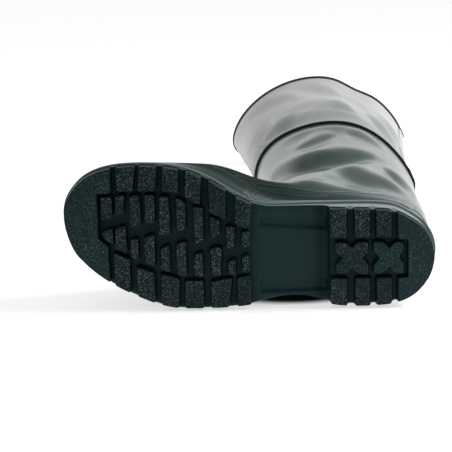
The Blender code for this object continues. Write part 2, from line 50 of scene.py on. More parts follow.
# Outsole
# One piece of moulded rubber: lugged tread, heel block, arch and a rim with two ribs.
# The upper is moulded onto its upper face.
MM = 0.001
SOLE_L = 294.5          # outsole, heel back to toe tip
BALL_W = 117.0          # width at the ball, which widths are shares of
HEEL_R, TOE_R = 36.0, 41.0      # radii of the outline's ends
HEEL_H = 36.0           # height of the upper face at the heel
SPRING_H = 9.0          # lift of the tread at the toe
LUG_H = 7.0             # depth of the tread's lugs
ARCH_H = 17.0           # height of the arch at the breast
RIM_OUT, SPUR_OUT = 1.2, 2.4    # how far the rim and the spur behind the heel stand out
RIM_H = 5.4             # height of the rim's two ribs
TOE_M = .300            # how far the toe bends to the inner side, share of the ball width
BREAST, ARCH_END, SPRING_START = .280, .495, .735   # shares of the length
# Share of the length, inner and outer half in shares of the ball width
OUTLINE = (
    (.02, .168, .168), (.05, .240, .254), (.10, .308, .317), (.15, .328, .335),
    (.20, .335, .3385), (.25, .338, .334), (.30, .342, .312), (.35, .347, .280),
    (.40, .350, .274), (.45, .357, .289), (.50, .394, .320), (.55, .466, .333),
    (.60, .545, .338), (.65, .602, .3385), (.70, .635, .332), (.75, .650, .301),
    (.80, .653, .252), (.85, .645, .192), (.90, .617, .116), (.95, .550, .010),
    (.98, .466, -.092))
RIM_TOP = ((0, 1.0), (.14, .975), (.28, .82), (.38, .63), (.50, .46), (.60, .415),
           (.70, .412), (.80, .435), (.90, .54), (1.0, .70))
# Lugs by their faces' corners (a, m) in mm, as the photo shows them: first those at the
# inner edge, last those at the outer edge
SLANTED_LUGS = (
    ((250, 78), (236, 77), (238, 57), (250, 57)), ((232, 77), (219, 76), (220, 57), (233, 57)),
    ((213, 76), (202, 74), (202, 55), (214, 57)), ((195, 72), (184, 68), (185, 45), (196, 52)),
    ((177, 65), (165, 57), (165, 33), (177, 39)), ((156, 51), (145, 46), (146, 25), (157, 29)),
    ((263, 51), (255, 52), (255, 36), (263, 34)), ((251, 52), (245, 53), (246, 39), (252, 37)),
    ((240, 52), (233, 53), (232, 30), (240, 28)), ((228, 53), (221, 53), (221, 32), (228, 31)),
    ((216, 52), (210, 51), (209, 22), (217, 21)), ((203, 50), (197, 47), (197, 26), (203, 24)),
    ((190, 43), (183, 42), (183, 16), (189, 14)), ((177, 35), (170, 32), (170, 21), (176, 18)),
    ((164, 27), (158, 26), (159, 10), (164, 9)), ((152, 22), (146, 22), (146, 12), (152, 10)),
    ((263, 23), (255, 26), (255, 14), (262, 19)), ((252, 26), (245, 28), (244, 7), (253, 11)),
    ((240, 17), (235, 18), (235, 1), (240, 4)), ((229, 19), (222, 21), (222, -4), (229, -1)),
    ((216, 10), (210, 12), (210, -9), (217, -6)), ((204, 13), (197, 15), (197, -12), (204, -11)),
    ((190, 4), (184, 6), (184, -13), (190, -12)), ((177, 9), (169, 10), (170, -12), (176, -13)),
    ((163, -2), (158, 0), (158, -12), (163, -12)), ((152, 2), (147, 3), (147, -10), (152, -10)),
    ((254, 6), (242, 1), (243, -22), (254, -14)), ((236, -5), (223, -10), (223, -31), (236, -26)),
    ((217, -11), (203, -15), (204, -38), (217, -35)),
    ((198, -17), (184, -17), (184, -39), (198, -39)),
    ((177, -18), (161, -15), (164, -39), (177, -39)),
    ((156, -15), (146, -14), (146, -37), (156, -38)))
INNER_EDGE, OUTER_EDGE = 6, 26  # the first 6 reach the inner edge, those from 26 the outer
HEEL_LUGS = ((70, 82), (51.5, 62.5), (34.5, 45.5))
HEEL_LUG_END = 17
HEEL_GROOVES = (66.2, 48.5, 31.2)
CROSSES = (
    ((78, 12), (71, 12), (65.3, 7.2), (60.5, 12), (53, 12), (53, 5.5), (57.5, 0), (53, -6),
     (53, -13), (60, -12.5), (65.3, -6.9), (70, -12), (77.5, -12), (78, -6.3), (72, -.4),
     (78, 6.1)),
    ((48, 12), (41, 12), (36.2, 6.9), (30.8, 11.5), (25.2, 11.5), (25.2, 5.5), (28.6, .6),
     (25.2, -5), (25.5, -12.5), (31.3, -12.5), (36.2, -6.6), (41.2, -12.5), (47.7, -12.3),
     (48, -6.5), (43, -.2), (48, 5.6)))
# Recessed arch panels: corners (a, m) and depth
PANELS = (((85, 31), (138, 34), (138, 25.5), (85, 21)),
          ((85, -29), (138, -28), (138, -17), (85, -20)))
PANEL_DEEP = 2.2
FILLET = 8.0            # radius between the arch and the heel's breast
ROUND = 1.3             # rounding of a lug's corners in plan
EDGE_IN = .9            # lugs at the sole's edge start this far inside the outline
NOTCH_W, NOTCH_DEEP = 2.6, 1.3  # the heel's grooves where they run out through the wall
RUBBER = "#1a3334"
# stippled faces, darker by a painted shade of the stipple's pits
RUBBER_STIPPLE_SHADE = "#102225"
# painted shade in the grooves and at the foot of the breast
RUBBER_SHADE = "#0a2326"
# the sides' painted sheen, standing for their grazing reflection
RUBBER_SIDE_SHEEN = "#667979"
RUBBER_WORN = "#a6babb"


def curve(rows, column, x):
    """Smooth line through a table's rows, which climb in their first column."""
    rows = np.array(rows, float)
    xs, ys = rows[:, 0], rows[:, column]
    step = np.diff(xs)
    rate = np.diff(ys) / step
    slope = np.concatenate((rate[:1], (rate[1:] * step[:-1] + rate[:-1] * step[1:])
                            / (step[:-1] + step[1:]), rate[-1:]))
    x = np.clip(np.asarray(x, float), xs[0], xs[-1])
    i = np.clip(np.searchsorted(xs, x, side="right") - 1, 0, len(xs) - 2)
    t = (x - xs[i]) / step[i]
    return (ys[i] * (1 + 2 * t) * (1 - t) ** 2 + ys[i + 1] * t * t * (3 - 2 * t)
            + step[i] * (slope[i] * t * (1 - t) ** 2 - slope[i + 1] * t * t * (1 - t)))


def smooth(x, low, high):
    """0 below low, 1 above high, an even S between."""
    t = np.clip((x - low) / (high - low), 0, 1)
    return t * t * (3 - 2 * t)


def round_of(share):
    """Height of a circle over its diameter, 0 at both ends and 1 in the middle."""
    return 2 * np.sqrt(np.clip(share * (1 - share), 0, None))


def centre(share):
    """Centre line of the sole, bending to the inner side towards the toe."""
    return TOE_M * BALL_W * share ** 2.2


def halves(share):
    """Outline's two halves over the centre line, divided by round_of, from heel to toe."""
    at = np.array([row[0] for row in OUTLINE])
    ends = np.sqrt(np.array([HEEL_R, TOE_R]) * SOLE_L / 2)
    out = []
    for column, side in ((1, 1), (2, -1)):
        width = np.array([row[column] for row in OUTLINE]) * BALL_W - side * centre(at)
        full = np.concatenate((ends[:1], width / round_of(at), ends[1:]))
        table = np.column_stack((np.concatenate(([0], at, [1])), full))
        out.append(curve(table, 1, share))
    return out


def rim_top(a):
    """Height of the sole's upper face over the tread plane."""
    return curve(RIM_TOP, 1, a / SOLE_L) * HEEL_H


def spring(a):
    """Lift of the tread plane towards the toe."""
    share = np.clip((a / SOLE_L - SPRING_START) / (1 - SPRING_START), 0, None)
    return SPRING_H * share ** 1.8


def groove_floor(a):
    """Height of the grooves' floor, and of the arch, which meets the breast in a fillet."""
    share = np.asarray(a, float) / SOLE_L
    over = (share - BREAST) / (ARCH_END - BREAST)
    arch = ARCH_H + (LUG_H - ARCH_H) * np.clip(over, 0, 1) ** 0.85
    near = np.clip(a - BREAST * SOLE_L, 0, FILLET)
    arch = arch - (FILLET - np.sqrt(FILLET ** 2 - (FILLET - near) ** 2))
    return np.where(share < BREAST, LUG_H, np.maximum(arch, LUG_H + spring(a)))


def outline(share, side, outset=0.0):
    """Points (a, m) on the sole's outline: m = centre + side * half * round, moved outset
    along the outline's normal."""
    def at(s):
        half = halves(s)[0 if side > 0 else 1]
        return np.stack((s * SOLE_L, centre(s) + side * half * round_of(s)), -1)
    share = np.asarray(share, float)
    angle = np.arccos(1 - 2 * share)
    near = [at((1 - np.cos(np.clip(angle + d, 0, np.pi))) / 2) for d in (-.01, .01)]
    along = near[1] - near[0]
    along /= np.linalg.norm(along, axis=-1, keepdims=True)
    normal = side * np.stack((-along[..., 1], along[..., 0]), -1)
    return at(share) + np.asarray(outset)[..., None] * normal


sole_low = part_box("outsole")[0]
X0 = sole_low.x / MM + SOLE_L + RIM_OUT
Y0 = sole_low.y / MM
Z0 = sole_low.z / MM + max(row[2] for row in OUTLINE) * BALL_W + RIM_OUT


def placed(points):
    """Boot coordinates in mm to the shared frame in metres: x = X0 - a, y = Y0 + h, z = Z0 + m."""
    p = np.asarray(points, float).reshape(-1, 3)
    return np.column_stack((X0 - p[:, 0], Y0 + p[:, 2], Z0 + p[:, 1])) * MM


def linear(code):
    """sRGB hex colour to linear RGBA."""
    v = np.array([int(code[i:i + 2], 16) for i in (1, 3, 5)]) / 255
    v = np.where(v <= .04045, v / 12.92, ((v + .055) / 1.055) ** 2.4)
    return (*v.tolist(), 1.0)


def feed(node, inputs):
    """Fills a shader node's inputs, each with a value or a link from an output socket."""
    for name, value in inputs.items():
        if isinstance(value, bpy.types.NodeSocket):
            node.id_data.links.new(value, node.inputs[name])
        else:
            node.inputs[name].default_value = value


def add(tree, kind, inputs=None, out=None, **settings):
    """A new shader node's output: the one named out, or else Fac, or else the first."""
    made = tree.nodes.new("ShaderNode" + kind)
    for name, value in settings.items():
        setattr(made, name, value)
    feed(made, inputs or {})
    names = [socket.name for socket in made.outputs]
    return made.outputs[out or ("Fac" if "Fac" in names else names[0])]


def field(tree, name):
    """A point attribute's value."""
    return add(tree, "Attribute", attribute_name=name)


def noise(tree, where, size, detail, rough=.5):
    """Noise of about this size in metres."""
    return add(tree, "TexNoise", {"Vector": where, "Scale": 1 / size, "Detail": detail,
                                  "Roughness": rough})


def calc(tree, operation, *values, clamp=False):
    """What a Math node makes of numbers and output sockets."""
    return add(tree, "Math", dict(enumerate(values)), operation=operation, use_clamp=clamp)


def ramp(tree, value, low, high, start=0.0, end=1.0, soft=False):
    """start below low, end above high, and between them a straight line or a soft S."""
    return add(tree, "MapRange", {"Value": value, "From Min": low, "From Max": high,
                                  "To Min": start, "To Max": end},
               interpolation_type="SMOOTHSTEP" if soft else "LINEAR")


def blend(tree, factor, first, second):
    """From the first colour to the second, each an sRGB hex code or an output socket."""
    first, second = (linear(c) if isinstance(c, str) else c for c in (first, second))
    return add(tree, "Mix", {"Factor": factor, "A": first, "B": second}, data_type="RGBA")


def bumped(tree, height, distance, strength=1.0, under=None):
    """A normal tilted as if the surface rose by height * distance, over another one."""
    below = {} if under is None else {"Normal": under}
    return add(tree, "Bump", {"Height": height, "Distance": distance, "Strength": strength,
                              **below})


def new_material(name):
    """A new material, its node tree, its Principled shader and object coordinates."""
    made = bpy.data.materials.new(name)
    made.use_nodes = True
    tree = made.node_tree
    where = add(tree, "TexCoord", out="Object")
    return made, tree, tree.nodes["Principled BSDF"], where


def piece(name, points, faces, material, slot, *nodes, values=None, uv=None):
    """A mesh object from boot coordinates, smooth shaded, riding on the root body.
    values: point attributes by name; uv: a (u, v) for each point."""
    mesh = bpy.data.meshes.new(name)
    mesh.from_pydata(placed(points).tolist(), [], faces)
    mesh.polygons.foreach_set("use_smooth", np.ones(len(mesh.polygons), bool))
    for key, each in (values or {}).items():
        store = mesh.attributes.new(key, "FLOAT", "POINT")
        store.data.foreach_set("value", np.asarray(each, np.float32).ravel())
    if uv is not None:
        layer = mesh.uv_layers.new(name="UVMap")
        corner = np.empty(len(mesh.loops), np.int32)
        mesh.loops.foreach_get("vertex_index", corner)
        layer.data.foreach_set("uv", np.asarray(uv, np.float32)[corner].ravel())
    obj = bpy.data.objects.new(name, mesh)
    scene.collection.objects.link(obj)
    mesh.materials.append(material)
    mesh.calc_loop_triangles()
    v = np.empty(len(mesh.vertices) * 3)
    mesh.vertices.foreach_get("co", v)
    t = np.empty(len(mesh.loop_triangles) * 3, np.int32)
    mesh.loop_triangles.foreach_get("vertices", t)
    p = v.reshape(-1, 3)[t.reshape(-1, 3)]
    if np.einsum("ij,ij->i", p[:, 0], np.cross(p[:, 1], p[:, 2])).sum() < 0:
        mesh.flip_normals()
    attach(obj, "root")
    if nodes:
        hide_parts(*nodes)


def bands(rows, count, first=0, closed=False):
    """Quads between rows of points that each run once around."""
    j = np.arange(rows if closed else rows - 1)[:, None]
    i = np.arange(count)[None, :]
    low, high = first + j * count, first + (j + 1) % rows * count
    k = (i + 1) % count
    return np.stack((low + i, low + k, high + k, high + i), -1).reshape(-1, 4).tolist()


# Points along the sole: even turns, with more of them at the breast, arch and heel grooves
even = (1 - np.cos(np.linspace(0, np.pi, 221))) / 2
fine = np.concatenate((np.arange(26, 83, .8), [81.9, 82.2, 82.4, 82.46, 82.5, 82.7, 83.1],
                       np.arange(83.6, 150, .8))) / SOLE_L
shares = np.unique(np.round(np.concatenate((even, fine)), 6))
shares = shares[np.concatenate(([True], np.diff(shares) > 1.5e-4))]
shares[-1] = 1.0
COUNT = 2 * len(shares) - 2


def lap(outset):
    """Outline points once around: heel, inner side, toe, outer side."""
    inner = outline(shares, 1, outset)
    outer = outline(shares, -1, outset)
    return np.concatenate((inner, outer[-2:0:-1]))


# Side profile: outset in shares of RIM_OUT, then its height over the floor in mm near the
# floor, as a share of the wall, or in shares of RIM_H under the rim's top
SIDE = (("near", -.75, 0), ("near", -.30, .12), ("near", -.06, .45), ("near", 0, 1.0),
        ("wall", .06, .18), ("wall", .14, .40), ("wall", .16, .60), ("wall", .12, .80),
        ("wall", .08, .93), ("wall", .10, 1.0), ("rim", .22, 1.0), ("rim", .62, .985),
        ("rim", .88, .95), ("rim", 1.0, .89), ("rim", 1.0, .78), ("rim", .93, .69),
        ("rim", .66, .62), ("rim", .45, .57), ("rim", .42, .53), ("rim", .55, .48),
        ("rim", .84, .42), ("rim", .98, .36), ("rim", 1.0, .26), ("rim", 1.0, .14),
        ("rim", .88, .05), ("rim", .60, .0), ("rim", .0, .0))
edge = lap(0.0)
edge_a = np.clip(edge[:, 0], 0, SOLE_L)
side = np.where(np.arange(COUNT) < len(shares), 1, -1)
# The heel's grooves run out through the wall and end there in a round
notch = np.exp(-((edge_a[:, None] - HEEL_GROOVES) / NOTCH_W) ** 4).sum(1)
rows = []
for kind, out, at in SIDE:
    low, top = groove_floor(edge_a), rim_top(edge_a)
    foot = top - RIM_H
    plan = lap(out * RIM_OUT)
    h = {"near": low + at, "wall": low + 1.0 + (foot - low - 1.0) * at,
         "rim": top - RIM_H * at}[kind]
    if kind == "rim":
        behind = np.clip(1 - edge_a / (.07 * SOLE_L), 0, 1) ** 2
        plan = plan - np.stack((behind * SPUR_OUT * out, 0 * behind), -1)
    cut = notch * (1 - smooth(h - low, 2.0, 4.5)) * NOTCH_DEEP if kind != "rim" else 0 * h
    plan[:, 1] -= side * cut
    rows.append(np.column_stack((plan, h)))
LANES = 72
lane = np.linspace(0, 1, LANES + 1)[1:-1]


def between(ring, height):
    """Points between the paired points of a lap, by rows from heel to toe."""
    last = len(shares) - 1
    inner, outer = ring[1:last], ring[len(ring) - 1:last:-1]
    plan = inner[:, None] + (outer - inner)[:, None] * lane[None, :, None]
    return np.column_stack((plan.reshape(-1, 2), height(plan.reshape(-1, 2))))


def clockwise(p):
    """Whether a plan outline turns right: sum of x * next y - y * next x under 0."""
    return np.sum(p[:, 0] * np.roll(p[:, 1], -1) - p[:, 1] * np.roll(p[:, 0], -1)) < 0


def panel_depth(p):
    """Share of the arch panels' depth: 1 inside, sloping out over 1.5 mm at the edge."""
    depth = np.zeros(len(p))
    for corners in PANELS:
        c = np.array(corners, float)
        c = c[::-1] if clockwise(c) else c
        ahead = np.roll(c, -1, 0) - c
        ahead /= np.linalg.norm(ahead, axis=1, keepdims=True)
        inward = np.stack((-ahead[:, 1], ahead[:, 0]), -1)
        room = np.min([(p - c[i]) @ inward[i] for i in range(4)], axis=0)
        depth = np.maximum(depth, smooth(room, -.6, .9))
    return depth


def under_side(p):
    """Height of the grooves' floor and the arch with its recessed panels."""
    return groove_floor(p[:, 0]) + PANEL_DEEP * panel_depth(p)


def cap(first_lap, extra):
    """Quads that close a lap by its lanes; the ends' fans are triangles."""
    last = len(shares) - 1
    j, k = np.meshgrid(np.arange(last + 1), np.arange(LANES + 1), indexing="ij")
    inside = extra + (j - 1) * (LANES - 1) + k - 1
    index = np.where(k == 0, j, np.where(k == LANES, COUNT - j, inside))
    index = np.where((j == 0) | (j == last), j, index)
    index = np.where(index < COUNT, first_lap + index, index) if first_lap else index
    quads = np.stack((index[:-1, :-1], index[1:, :-1], index[1:, 1:], index[:-1, 1:]), -1)
    mid = quads[1:-1].reshape(-1, 4).tolist()
    ends = [tuple(dict.fromkeys(q)) for q in quads[[0, -1]].reshape(-1, 4).tolist()]
    return mid + [q for q in ends if len(q) > 2]


base = np.concatenate(rows)
first_top = (len(rows) - 1) * COUNT
under = between(rows[0][:, :2], under_side)
over = between(rows[-1][:, :2], lambda p: rim_top(np.clip(p[:, 0], 0, SOLE_L)))
sole_faces = bands(len(rows), COUNT)
sole_faces += [f[::-1] for f in cap(0, len(base))]
sole_faces += cap(first_top, len(base) + len(under))
sole_points = [base, under, over]
# Shares of a point's look: stippled (or, as -1, on the glossy sides, which carry a painted sheen)
# and painted shade in the grooves
stipple = [np.concatenate((np.repeat(-1.0 * (np.arange(len(rows)) > 2), COUNT),
                           np.zeros(len(under) + len(over))))]


def painted_shade_share(p, depth):
    """Share of painted shade: 1 in the grooves of heel and forefoot and at the foot of the breast,
    0 in the arch.
    """
    share = p[:, 0] / SOLE_L
    past = smooth(share, ARCH_END - .03, ARCH_END + .005)
    near = 1 - smooth(p[:, 0], BREAST * SOLE_L + 6, BREAST * SOLE_L + 15)
    return np.clip(past + near, 0, 1) * depth


painted_shade = [np.concatenate((np.zeros(len(base)), painted_shade_share(under, 1.0), np.zeros(len(over))))]


def rounded(corners, radius):
    """A plan outline whose corners, those not marked as on a curve, are rounded."""
    p = np.array([c[:2] for c in corners], float)
    if clockwise(p):
        p, corners = p[::-1], corners[::-1]
    out = []
    for i in range(len(p)):
        if len(corners[i]) > 2:
            out.append(p[i])
            continue
        before, after = p[i - 1] - p[i], p[(i + 1) % len(p)] - p[i]
        r = min(radius, .3 * np.linalg.norm(before), .3 * np.linalg.norm(after))
        start = p[i] + before / np.linalg.norm(before) * r
        end = p[i] + after / np.linalg.norm(after) * r
        for t in (0, .25, .5, .75, 1):
            out.append(start * (1 - t) ** 2 + 2 * p[i] * t * (1 - t) + end * t * t)
    return np.array(out)


def grown(plan, distance):
    """Plan outline moved outwards along its corners' normals."""
    ahead = np.roll(plan, -1, 0) - plan
    ahead /= np.linalg.norm(ahead, axis=1, keepdims=True)
    out = np.stack((ahead[:, 1], -ahead[:, 0]), -1)
    mitre = out + np.roll(out, 1, 0)
    mitre /= np.sum(mitre * out, axis=1, keepdims=True)
    return plan + distance * mitre


# A lug from root to face: how far the outline is grown, height off the floor or the face
LUG_PROFILE = ((1.4, "floor", 1.2), (1.4, "floor", -.05), (1.05, "floor", -.45),
               (.9, "floor", -1.1), (.5, "face", .85), (.42, "face", .45),
               (.28, "face", .16), (.08, "face", .02), (-.1, "face", 0))


def fill(ring, grid):
    """Points inside a plan outline, on a grid where grid isn't 0, and the triangles that
    fill it, or no triangles where the outline crosses itself."""
    inner = np.empty((0, 2))
    if grid:
        low, high = ring.min(0), ring.max(0)
        x, y = np.meshgrid(np.arange(low[0] + grid / 2, high[0], grid),
                           np.arange(low[1] + grid / 2, high[1], grid))
        p = np.column_stack((x.ravel(), y.ravel()))
        q = np.roll(ring, -1, 0)
        cross = (ring[:, 1] > p[:, None, 1]) != (q[:, 1] > p[:, None, 1])
        with np.errstate(divide="ignore", invalid="ignore"):
            reach = ring[:, 0] + (p[:, None, 1] - ring[:, 1]) / (q[:, 1] - ring[:, 1]) * (
                q[:, 0] - ring[:, 0])
        odd = np.sum(cross & (p[:, None, 0] < reach), axis=1) % 2 == 1
        away = np.min(np.linalg.norm(p[:, None] - ring[None], axis=2), axis=1)
        inner = p[odd & (away > grid * .4)]
    count = len(ring)
    _, _, triangles, origin, _, _ = delaunay_2d_cdt(
        [Vector(c) for c in np.concatenate((ring, inner))],
        [(i, (i + 1) % count) for i in range(count)], [], 1, 1e-6)
    if not all(origin):
        return inner, []
    return inner, [[origin[i][0] for i in t] for t in triangles]


def add_lug(corners, rough=1.0, grid=0):
    """A block with a flared root, sloping walls and rounded edges; its face is filled with
    triangles, over a grid of points where it is large."""
    plan = rounded(corners, ROUND)
    count, first = len(plan), sum(len(p) for p in sole_points)
    for ease in (1, .7, .45, .2, 0):
        laps, marks, shades = [], [], []
        for grow, where, at in LUG_PROFILE:
            ring = grown(plan, grow if grow > 0 else grow * ease)
            a = ring[:, 0]
            h = (groove_floor(a) if where == "floor" else spring(a)) + at
            laps.append(np.column_stack((ring, h)))
            marks.append(np.full(count, rough if where == "face" and at < .3 else 0))
            shades.append(painted_shade_share(laps[-1], 1.0 if where == "floor" else .25 * (at > .3)))
        inner, triangles = fill(laps[-1][:, :2], grid)
        if triangles:
            break
    sole_points.append(np.concatenate(laps))
    sole_points.append(np.column_stack((inner, spring(inner[:, 0]))))
    stipple.extend([*marks, np.full(len(inner), rough)])
    painted_shade.extend([*shades, np.zeros(len(inner))])
    sole_faces.extend(bands(len(laps), count, first))
    start = first + (len(laps) - 1) * count
    sole_faces.extend([start + i for i in t] for t in triangles)
    sole_faces.append([first + i for i in reversed(range(count))])


def on_curve(p):
    """Corners along a curve, with all but its ends marked as on it."""
    return [tuple(p[0]), *[(*c, "curve") for c in p[1:-1]], tuple(p[-1])]


def on_edge(low, high, sign):
    """Corners on the sole's outline between two places along it, from low to high."""
    at = low + (high - low) * np.array((0, .3, .5, .7, 1))
    return on_curve(outline(at / SOLE_L, sign, -EDGE_IN))


def to_edge(corners, sign):
    """A side lug's corners with its outer edge laid on the outline."""
    front, back = corners[0 if sign > 0 else 3], corners[1 if sign > 0 else 2]
    inner = (corners[3], corners[2]) if sign > 0 else corners[:2]
    return [*on_edge(back[0], front[0], sign), *inner]


def round_end(inner_a, outer_a, end):
    """Corners on the outline from its inner side to its outer side, round the toe (end is
    pi) or the heel (end is 0)."""
    turns = [np.arccos(1 - 2 * a / SOLE_L) for a in (inner_a, outer_a)]
    inner, outer = (outline((1 - np.cos(angle)) / 2, sign, -EDGE_IN) for angle, sign in (
        (np.linspace(turns[0], end, 26), 1), (np.linspace(end, turns[1], 26)[1:], -1)))
    return on_curve(np.concatenate((inner, outer)))


for index, corners in enumerate(SLANTED_LUGS):
    if index < INNER_EDGE:
        corners = to_edge(corners, 1)
    elif index >= OUTER_EDGE:
        corners = to_edge(corners, -1)
    add_lug(corners)
# The stipple is worn away on the heel, most on its back cross and back lug
for back, front in HEEL_LUGS:
    for sign in (1, -1):
        add_lug([*on_edge(back, front, sign), (front, sign * HEEL_LUG_END),
                 (back, sign * HEEL_LUG_END)], .9)
add_lug(list(CROSSES[0]), .9)
add_lug(list(CROSSES[1]), .45)
add_lug([*round_end(256, 259, np.pi), (259.5, 12), (267, 18), (267, 55), (256, 55)], .6, 3.5)
add_lug([*round_end(28.5, 28.5, 0), (28.5, -17), (20.5, -17), (20.5, 15), (28.5, 15)], .35, 3.5)

rubber, tree, shader, where = new_material("moulded_rubber")
rough_at = field(tree, "stipple")
cells = add(tree, "TexVoronoi", {"Vector": where, "Scale": 1 / .0010})
lot = add(tree, "SeparateColor", {"Color": cells.node.outputs["Color"]})
grit = noise(tree, where, .0016, 3.0)
blotch = noise(tree, where, .030, 4.0)
peaks = ramp(tree, cells, .55, .05)
patchy = ramp(tree, blotch, .38, .62, .35, 1.0)
strength = calc(tree, "MULTIPLY", rough_at, patchy, clamp=True)
relief = calc(tree, "MULTIPLY", peaks, strength)
speck = ramp(tree, lot, .22, 1.0, 0.0, .9)
worn = calc(tree, "MULTIPLY", relief, speck)
# Stippled faces are darker: painted shade of the stipple's pits
with_stipple_shade = blend(tree, rough_at, RUBBER, RUBBER_STIPPLE_SHADE)
# Painted shade: darker in the grooves and at the foot of the breast
painted_shade_at = field(tree, "painted_shade")
with_painted_shade = blend(tree, painted_shade_at, with_stipple_shade, RUBBER_SHADE)
# The sides are painted lighter: a painted sheen of their grazing reflection
on_side = ramp(tree, rough_at, 0.0, -1.0)
with_side_sheen = blend(tree, on_side, with_painted_shade, RUBBER_SIDE_SHEEN)
tint = blend(tree, worn, with_side_sheen, RUBBER_WORN)
bump = bumped(tree, relief, .00045)
fine_bump = bumped(tree, grit, .0001, strength=.2, under=bump)
gloss = ramp(tree, rough_at, -1.0, 1.0, .16, .62)
feed(shader, {"Base Color": tint, "Roughness": gloss, "Normal": fine_bump,
              "Specular IOR Level": .11})
piece("outsole_looks", np.concatenate(sole_points), sole_faces, rubber, "outsole",
      "outsole", values={"stipple": np.concatenate(stipple), "painted_shade": np.concatenate(painted_shade)})

# Insole
# A flat insert of pressed felt, loose inside the foot. It keeps the CAD's form.
felt, tree, shader, where = new_material("pressed_felt")
fibre = noise(tree, where, .0008, 6.0)
tint = blend(tree, fibre, "#3c3d3b", "#6d6e6a")
bump = bumped(tree, fibre, .0004, strength=.6)
feed(shader, {"Base Color": tint, "Normal": bump, "Roughness": .95})
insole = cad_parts["insole"]
insole.data.materials.clear()
insole.data.materials.append(felt)

# Upper
# Foot and shaft moulded in one from soft dark green PVC, with a heel counter as a step in
# its wall, fine ribs along the foot's inner side and the slack shaft's folds.
INSTEP_H, SHAFT_H = 110.0, 380.0
WALL, GAP = 2.5, 0.3
COUNTER_STEP, COUNTER_H = 0.9, 112.0
COUNTER_TOP, COUNTER_RUN = 1, 16        # the counter's edge: a at its top, and its run below
AROUND = 240
TUCK = 21.0             # the side is drawn in by this much just over the rim, as bump
SWELL = 24.0            # and it leans out by this much from there to the ankle, as bump
PVC = "#15332f"
# paler colour of the shaft: dust and a painted sheen of its grazing reflection
PVC_DUST_AND_SHEEN = "#6d817e"
UPPER_COLUMNS = ("back_a", "back_v", "front_a", "front_v", "dip", "sole", "full", "waist",
                 "back_m", "front_m", "med", "lat", "square", "peak_back", "peak_front")
UPPER_RINGS = (
    (.008, .330, .991, .232, 1.0, 1.0, .965, .00, 0, .300, .33, .33, 1.0, 1.0, 1.0),
    (-.001, .420, .993, .340, .95, 1.0, .975, .022, 0, .300, .33, .33, 1.0, 1.0, 1.0),
    (-.004, .520, .980, .455, .60, 1.0, .930, .055, 0, .298, .33, .33, 1.0, 1.0, 1.0),
    (-.006, .610, .940, .545, .30, .95, .865, .070, 0, .285, .34, .33, 1.0, 1.0, 1.0),
    (-.008, .700, .867, .605, .10, .80, .830, .073, 0, .240, .35, .33, 1.0, 1.0, 1.0),
    (-.010, .790, .773, .675, 0, .60, .825, .067, 0, .190, .36, .33, 1.0, 1.0, 1.0),
    (-.013, .900, .665, .785, 0, .40, .860, .050, 0, .125, .36, .33, 1.0, 1.0, 1.0),
    (-.017, 1.01, .570, .940, 0, .22, .910, .028, 0, .070, .365, .33, 1.0, 1.0, 1.0),
    (-.021, 1.07, .497, 1.05, 0, .10, .955, .015, -.01, .035, .37, .33, 1.0, 1.0, 1.0),
    (-.026, 1.15, .453, 1.15, 0, .03, 1.0, 0, -.02, .010, .375, .32, .97, 1.05, 1.0),
    (-.030, 1.24, .436, 1.25, 0, 0, 1.0, 0, -.035, -.010, .39, .316, .92, 1.1, 1.0),
    (-.033, 1.39, .428, 1.39, 0, 0, 1.0, 0, -.05, -.030, .42, .301, .85, 1.2, .97),
    (-.038, 1.54, .438, 1.54, 0, 0, 1.0, 0, -.055, -.030, .455, .297, .76, 1.3, .94),
    (-.045, 1.70, .457, 1.70, 0, 0, 1.0, 0, -.06, -.030, .495, .293, .68, 1.4, .91),
    (-.052, 1.87, .477, 1.87, 0, 0, 1.0, 0, -.06, -.030, .530, .293, .62, 1.48, .89),
    (-.058, 2.00, .493, 2.00, 0, 0, 1.0, 0, -.06, -.030, .547, .271, .60, 1.55, .88))
WAIST_AT, WAIST_L = .570, .105
# Folds on the inner side, as steps along lines of (a, h) in mm that run from the front to
# the back: rise towards the leg's top, half width; lengths along h count SQUASH as much
SQUASH = .3
SHAFT_FOLDS = (
    (3.0, 6, ((128, 290), (116, 266), (102, 249), (86, 242), (70, 240), (52, 242), (36, 250),
              (22, 262))),
    (2.0, 4, ((132, 300), (122, 276), (110, 258), (98, 250), (84, 246), (70, 246))),
    (-3.0, 8, ((130, 280), (112, 240), (95, 205), (78, 190), (62, 192), (49, 209), (30, 240))),
    (2.8, 6, ((78, 180), (66, 168), (54, 155), (42, 147), (31, 144), (12, 128))),
    (1.9, 4.5, ((106, 306), (94, 308), (80, 318), (64, 330))),
    (1.6, 5, ((54, 340), (42, 336), (30, 330), (18, 318))),
    (2.8, 5, ((26, 218), (14, 200), (7, 172), (6, 148))),
    (2.0, 8, ((120, 352), (90, 356), (60, 356), (30, 350))),
    (-2.4, 9, ((122, 168), (100, 138), (80, 114), (60, 102), (34, 96))))
# Fine ribs along the foot's inner side, as lines of (a, h)
RIBS = (((158, 60), (142, 70), (121, 84), (104, 91), (79, 96), (53, 100), (30, 105)),
        ((176, 48), (158, 52), (142, 62), (126, 73), (105, 81), (80, 86)))
NO_RIB = 30.0           # distance that stands for no rib near


def column(rows, names, name, level):
    """One column of a ring table at a level between its rows."""
    return curve([(k, row[names.index(name)]) for k, row in enumerate(rows)], 1, level)


def height_of(v):
    """Height of a level: 1 is the instep, 2 the shaft's top."""
    return v * INSTEP_H if v < 1 else INSTEP_H + (v - 1) * (SHAFT_H - INSTEP_H)


